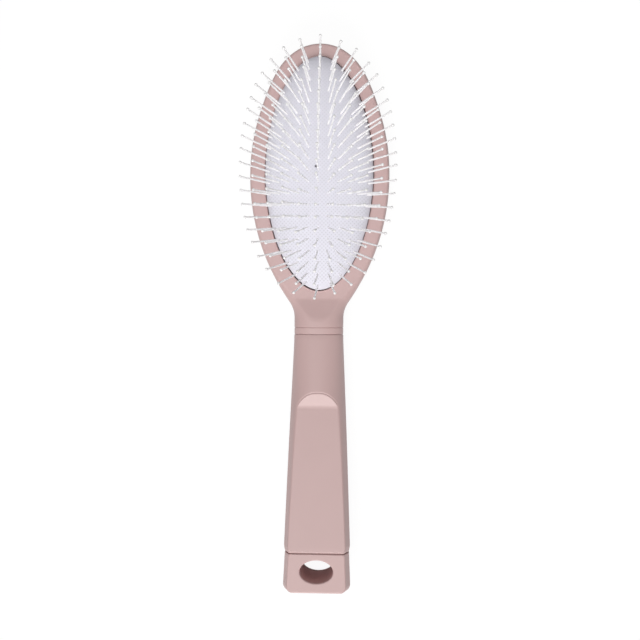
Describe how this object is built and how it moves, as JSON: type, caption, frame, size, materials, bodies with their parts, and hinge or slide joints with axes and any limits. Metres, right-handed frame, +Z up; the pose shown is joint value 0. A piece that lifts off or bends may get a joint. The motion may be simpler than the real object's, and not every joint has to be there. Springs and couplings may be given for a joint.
{
  "type": "hair grooming brush",
  "caption": "Cushion hair brush: oval head with ball-tipped pins on a domed pad, flat-fronted tapering handle and an end cap with a hanging hole.",
  "frame": {"origin": "middle of the brush's length and width, on the surface that its back lies on", "axes": "+Z up along the pins, +Y from the handle towards the tip of the head, +X to the right"},
  "size_m": [0.0666, 0.2384, 0.0422],
  "materials": {
    "rose_plastic": "soft-touch satin, dusty rose",
    "inner_plastic": "moulded grey plate, hidden",
    "cushion_rubber": "soft pale rubber",
    "pin_nylon": "white nylon pins with a fine woven facing"
  },
  "bodies": {
    "brush_body": {"head_frame": "rose_plastic", "neck_ring": "rose_plastic", "grip_sleeve": "rose_plastic", "end_cap": "rose_plastic", "cushion_plate": "inner_plastic", "cushion": "cushion_rubber"},
    "pin_bed": {"pin_row_01": "pin_nylon", "pin_row_02": "pin_nylon", "pin_row_03": "pin_nylon", "pin_row_04": "pin_nylon", "pin_row_05": "pin_nylon", "pin_row_06": "pin_nylon", "pin_row_07": "pin_nylon", "pin_row_08": "pin_nylon", "pin_row_09": "pin_nylon", "pin_row_10": "pin_nylon", "pin_row_11": "pin_nylon", "pin_row_12": "pin_nylon", "pin_row_13": "pin_nylon", "pin_row_14": "pin_nylon", "pin_row_15": "pin_nylon", "pin_row_16": "pin_nylon", "pin_row_17": "pin_nylon", "pin_row_18": "pin_nylon", "pin_row_19": "pin_nylon", "pin_row_20": "pin_nylon", "pin_row_21": "pin_nylon"}
  },
  "joints": [
    {"name": "cushion_press", "type": "slide", "parent": "brush_body", "child": "pin_bed", "axis": [0, 0, -1], "range_m": [0, 0.0025], "stiffness_N_per_m": 900, "springref_m": -0.0004, "deforming": ["cushion"]}
  ]
}
